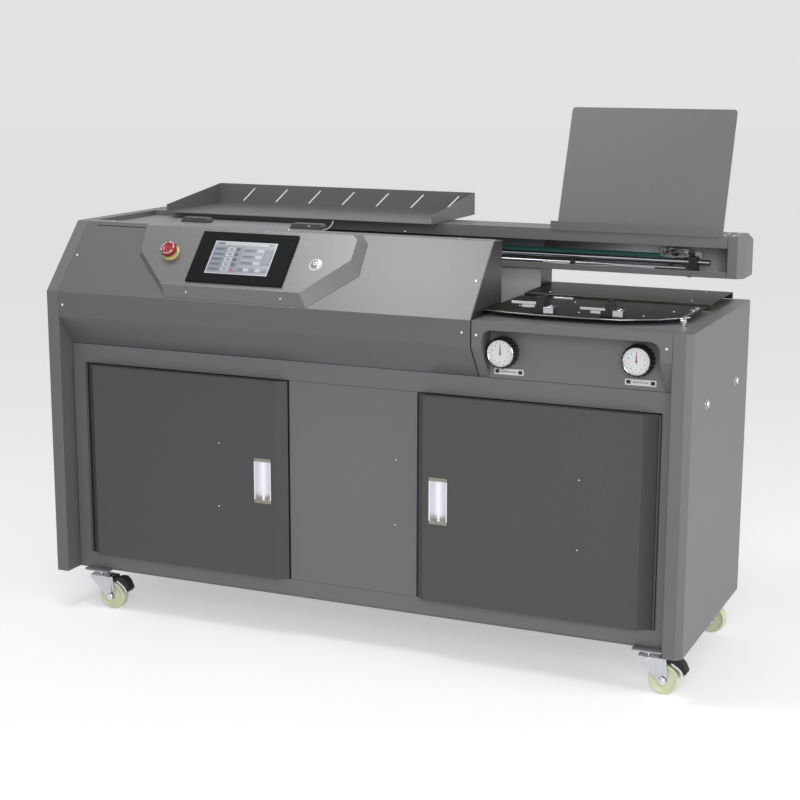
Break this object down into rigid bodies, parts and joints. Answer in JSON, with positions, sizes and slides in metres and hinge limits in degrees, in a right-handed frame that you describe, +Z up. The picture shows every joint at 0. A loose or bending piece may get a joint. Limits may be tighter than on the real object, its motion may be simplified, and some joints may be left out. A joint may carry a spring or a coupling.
{
  "type": "thermal binding machine",
  "caption": "Floor-standing thermal book binder on casters: hooded section with control pod, cabinet doors, rear beam with travelling clamp, book tray, cover table and cover rack.",
  "frame": {"origin": "centre of the machine's footprint, on the floor under the casters", "axes": "+X along the length from the hooded section towards the cover table, +Y from the front with the doors towards the rear, +Z up"},
  "size_m": [1.46, 0.632, 1.143],
  "materials": {
    "painted_grey": "fine textured powder coat, mid grey",
    "painted_dark_grey": "fine textured powder coat, dark grey",
    "stainless": "brushed",
    "bright_steel": "polished",
    "aluminium": "machined",
    "black_plastic": "matte",
    "screen_glass": "lit display",
    "red_plastic": "gloss",
    "yellow_plastic": "satin",
    "belt": "green toothed belt",
    "wheel_tread": "ivory"
  },
  "bodies": {
    "machine": {"left_side_panel": "painted_grey", "right_side_panel": "painted_grey", "back_panel": "painted_grey", "book_tray": "painted_grey", "beam_housing": "painted_grey", "cover_rack": "painted_grey", "right_fascia": "painted_grey", "base_pan": "painted_dark_grey", "face_frame": "painted_dark_grey", "hood_hinge_bar": "painted_dark_grey", "top_deck": "painted_dark_grey", "table_bed": "painted_dark_grey", "hood_end_plate": "stainless", "beam_wall": "stainless", "rear_table": "stainless", "front_table": "stainless", "upper_guide_rod": "bright_steel", "lower_guide_rod": "bright_steel", "caster_plate_front_left": "bright_steel", "caster_plate_front_right": "bright_steel", "caster_plate_rear_left": "bright_steel", "caster_plate_rear_right": "bright_steel", "machine_bed": "aluminium", "glue_tank": "aluminium", "rod_clamp": "black_plastic", "belt_motor": "black_plastic", "cutter_motor": "black_plastic", "drive_belt": "belt"},
    "hood": {"hood_cover": "painted_grey", "control_pod": "painted_grey", "screen_bezel": "black_plastic", "touch_screen": "screen_glass", "estop_base": "yellow_plastic"},
    "estop": {"estop_button": "red_plastic"},
    "start": {"start_button": "bright_steel"},
    "left_door": {"left_door": "painted_dark_grey", "left_door_handle": "bright_steel"},
    "right_door": {"right_door": "painted_dark_grey", "right_door_handle": "bright_steel"},
    "carriage": {"clamp_carriage": "aluminium"},
    "front_jaw": {"front_clamp_jaw": "aluminium"},
    "drive_pulley": {"drive_pulley": "aluminium"},
    "idler_pulley": {"idler_pulley": "aluminium"},
    "cutter": {"milling_cutter": "bright_steel"},
    "glue_roller": {"glue_roller": "bright_steel"},
    "left_knob": {"left_dial_knob": "black_plastic"},
    "right_knob": {"right_dial_knob": "black_plastic"},
    "left_guide": {"left_cover_guide": "black_plastic"},
    "right_guide": {"right_cover_guide": "black_plastic"},
    "swivel_front_left": {"caster_fork_front_left": "bright_steel"},
    "wheel_front_left": {"caster_wheel_front_left": "wheel_tread"},
    "swivel_front_right": {"caster_fork_front_right": "bright_steel"},
    "wheel_front_right": {"caster_wheel_front_right": "wheel_tread"},
    "swivel_rear_left": {"caster_fork_rear_left": "bright_steel"},
    "wheel_rear_left": {"caster_wheel_rear_left": "wheel_tread"},
    "swivel_rear_right": {"caster_fork_rear_right": "bright_steel"},
    "wheel_rear_right": {"caster_wheel_rear_right": "wheel_tread"},
    "pedal_front_left": {"brake_pedal_front_left": "black_plastic"},
    "pedal_front_right": {"brake_pedal_front_right": "black_plastic"}
  },
  "joints": [
    {"name": "hood_lift", "type": "hinge", "parent": "machine", "child": "hood", "pos_m": [0, -0.157, 0.879], "axis": [-1, 0, 0], "range_deg": [0, 60]},
    {"name": "estop_press", "type": "slide", "parent": "hood", "child": "estop", "axis": [0, 0.742, -0.6704], "range_m": [0, 0.004], "stiffness_N_per_m": 800},
    {"name": "start_press", "type": "slide", "parent": "hood", "child": "start", "axis": [0, 0.742, -0.6704], "range_m": [0, 0.0025], "stiffness_N_per_m": 400},
    {"name": "left_door_swing", "type": "hinge", "parent": "machine", "child": "left_door", "pos_m": [-0.6632, -0.2688, 0.132], "axis": [0, 0, -1], "range_deg": [0, 100]},
    {"name": "right_door_swing", "type": "hinge", "parent": "machine", "child": "right_door", "pos_m": [0.6602, -0.2688, 0.132], "axis": [0, 0, 1], "range_deg": [0, 100]},
    {"name": "clamp_travel", "type": "slide", "parent": "machine", "child": "carriage", "axis": [1, 0, 0], "range_m": [0, 0.8]},
    {"name": "clamp_close", "type": "slide", "parent": "carriage", "child": "front_jaw", "axis": [0, 1, 0], "range_m": [0, 0.06]},
    {"name": "drive_pulley_spin", "type": "hinge", "parent": "machine", "child": "drive_pulley", "pos_m": [-0.66, 0.16, 0.825], "axis": [0, 0, 1], "range_deg": [-5, 3400]},
    {"name": "idler_pulley_spin", "type": "hinge", "parent": "machine", "child": "idler_pulley", "pos_m": [0.56, 0.16, 0.825], "axis": [0, 0, 1], "range_deg": [-5, 3400]},
    {"name": "cutter_spin", "type": "hinge", "parent": "machine", "child": "cutter", "pos_m": [-0.12, -0.036, 0.742], "axis": [0, 0, 1], "continuous": true},
    {"name": "glue_roller_spin", "type": "hinge", "parent": "machine", "child": "glue_roller", "pos_m": [0.1, -0.086, 0.732], "axis": [0, 1, 0], "continuous": true},
    {"name": "left_knob_turn", "type": "hinge", "parent": "machine", "child": "left_knob", "pos_m": [0.338, -0.301, 0.672], "axis": [0, 1, 0], "range_deg": [-720, 720]},
    {"name": "right_knob_turn", "type": "hinge", "parent": "machine", "child": "right_knob", "pos_m": [0.617, -0.301, 0.677], "axis": [0, 1, 0], "range_deg": [-720, 720]},
    {"name": "left_guide_shift", "type": "slide", "parent": "machine", "child": "left_guide", "axis": [0, 1, 0], "range_m": [-0.0105, 0.0105]},
    {"name": "right_guide_shift", "type": "slide", "parent": "machine", "child": "right_guide", "axis": [0, 1, 0], "range_m": [-0.0105, 0.0105]},
    {"name": "swivel_front_left_turn", "type": "hinge", "parent": "machine", "child": "swivel_front_left", "pos_m": [-0.646, -0.264, 0.0781], "axis": [0, 0, 1], "continuous": true},
    {"name": "wheel_front_left_roll", "type": "hinge", "parent": "swivel_front_left", "child": "wheel_front_left", "pos_m": [-0.612, -0.264, 0.032], "axis": [0, 1, 0], "continuous": true},
    {"name": "swivel_front_right_turn", "type": "hinge", "parent": "machine", "child": "swivel_front_right", "pos_m": [0.652, -0.264, 0.0781], "axis": [0, 0, 1], "continuous": true},
    {"name": "wheel_front_right_roll", "type": "hinge", "parent": "swivel_front_right", "child": "wheel_front_right", "pos_m": [0.686, -0.264, 0.032], "axis": [0, 1, 0], "continuous": true},
    {"name": "swivel_rear_left_turn", "type": "hinge", "parent": "machine", "child": "swivel_rear_left", "pos_m": [-0.646, 0.1365, 0.0781], "axis": [0, 0, 1], "continuous": true},
    {"name": "wheel_rear_left_roll", "type": "hinge", "parent": "swivel_rear_left", "child": "wheel_rear_left", "pos_m": [-0.612, 0.1365, 0.032], "axis": [0, 1, 0], "continuous": true},
    {"name": "swivel_rear_right_turn", "type": "hinge", "parent": "machine", "child": "swivel_rear_right", "pos_m": [0.652, 0.1365, 0.0781], "axis": [0, 0, 1], "continuous": true},
    {"name": "wheel_rear_right_roll", "type": "hinge", "parent": "swivel_rear_right", "child": "wheel_rear_right", "pos_m": [0.686, 0.1365, 0.032], "axis": [0, 1, 0], "continuous": true},
    {"name": "pedal_front_left_press", "type": "hinge", "parent": "swivel_front_left", "child": "pedal_front_left", "pos_m": [-0.613, -0.264, 0.0715], "axis": [0, 1, 0], "range_deg": [0, 10]},
    {"name": "pedal_front_right_press", "type": "hinge", "parent": "swivel_front_right", "child": "pedal_front_right", "pos_m": [0.685, -0.264, 0.0715], "axis": [0, 1, 0], "range_deg": [0, 10]}
  ],
  "couplings": [
    {"joint": "drive_pulley_spin", "follows": "clamp_travel", "rad_per_m": 73.801},
    {"joint": "idler_pulley_spin", "follows": "clamp_travel", "rad_per_m": 73.801},
    {"joint": "left_guide_shift", "follows": "left_knob_turn", "m_per_rad": 0.00079577},
    {"joint": "right_guide_shift", "follows": "right_knob_turn", "m_per_rad": 0.00079577}
  ]
}
